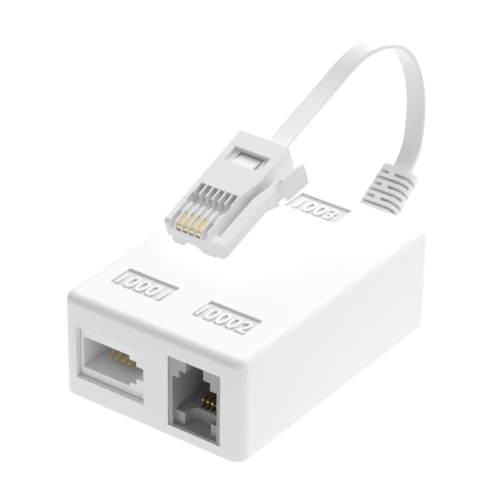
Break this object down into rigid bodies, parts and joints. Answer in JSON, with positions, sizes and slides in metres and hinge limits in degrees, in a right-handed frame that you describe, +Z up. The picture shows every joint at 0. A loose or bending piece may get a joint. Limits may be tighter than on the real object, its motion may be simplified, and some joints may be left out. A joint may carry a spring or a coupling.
{
  "type": "dsl line filter",
  "caption": "In-line telephone line filter: a small box with a phone socket and a modem socket in front, and a short flat cord with a plug at the back.",
  "frame": {"origin": "centre of the box's footprint, on its underside", "axes": "+Z up, the sockets face -Y, the cord leaves the rear face along +Y, +X to the right when the sockets face the viewer"},
  "size_m": [0.04, 0.0868, 0.0439],
  "materials": {
    "cover_plastic": "moulded ABS, glossy",
    "bobbin_plastic": "moulded phenolic",
    "ferrite": "sintered ferrite, dull",
    "tinned_pin": "tinned steel",
    "copper_winding": "enamelled copper wire",
    "board_laminate": "glass-filled epoxy with solder mask",
    "cord_jacket": "extruded vinyl jacket",
    "film_capacitor": "dipped film capacitor",
    "wire_insulation": "insulated stranded wire",
    "gilded_contact": "gold-plated spring wire",
    "grey_socket_plastic": "moulded polyester, satin",
    "white_socket_plastic": "moulded ABS, satin",
    "plug_plastic": "moulded ABS, glossy",
    "resistor_body": "lacquered carbon film",
    "box_capacitor": "moulded film capacitor",
    "relief_plastic": "overmoulded soft vinyl"
  },
  "bodies": {
    "root": {"base_cover": "cover_plastic", "choke_a_bobbin": "bobbin_plastic", "choke_a_core_front": "ferrite", "choke_a_core_rear": "ferrite", "choke_a_pins": "tinned_pin", "choke_a_winding_1": "copper_winding", "choke_a_winding_2": "copper_winding", "choke_b_bobbin": "bobbin_plastic", "choke_b_core_front": "ferrite", "choke_b_core_rear": "ferrite", "choke_b_pins": "tinned_pin", "choke_b_winding_1": "copper_winding", "choke_b_winding_2": "copper_winding", "circuit_board": "board_laminate", "cord_tail": "cord_jacket", "filter_capacitor_1": "film_capacitor", "filter_capacitor_2": "film_capacitor", "line_cord": "cord_jacket", "line_wire_1": "wire_insulation", "line_wire_2": "wire_insulation", "modem_contact_1": "gilded_contact", "modem_contact_2": "gilded_contact", "modem_contact_3": "gilded_contact", "modem_contact_4": "gilded_contact", "modem_socket": "grey_socket_plastic", "phone_contact_1": "gilded_contact", "phone_contact_2": "gilded_contact", "phone_contact_3": "gilded_contact", "phone_contact_4": "gilded_contact", "phone_socket": "white_socket_plastic", "plug_body": "plug_plastic", "plug_contact_1": "gilded_contact", "plug_contact_2": "gilded_contact", "plug_contact_3": "gilded_contact", "plug_contact_4": "gilded_contact", "resistor": "resistor_body", "ring_capacitor": "box_capacitor", "strain_relief": "relief_plastic", "upper_cover": "cover_plastic"}
  },
  "joints": []
}
